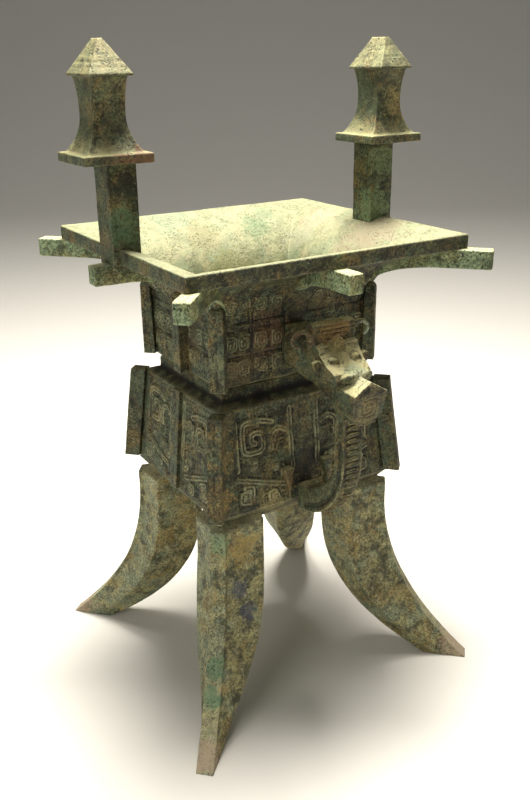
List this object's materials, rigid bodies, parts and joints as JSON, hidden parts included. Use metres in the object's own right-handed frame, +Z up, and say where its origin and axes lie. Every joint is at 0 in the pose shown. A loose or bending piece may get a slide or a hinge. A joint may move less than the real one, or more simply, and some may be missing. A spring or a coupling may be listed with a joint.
{
  "type": "square ritual wine vessel",
  "caption": "Square cast-bronze wine vessel with a flared mouth, capped posts, an animal-head handle and splayed blade legs.",
  "frame": {"origin": "on the floor the vessel stands on, below the middle of its whole box, handle included", "axes": "+Z up; the handle is on the -Y side; the two posts stand on the short sides, at -X and +X"},
  "size_m": [0.2484, 0.2392, 0.435],
  "materials": {
    "bronze": "matte green, olive and ochre patina over cast bronze"
  },
  "bodies": {
    "root": {"vessel": "bronze"}
  },
  "joints": []
}
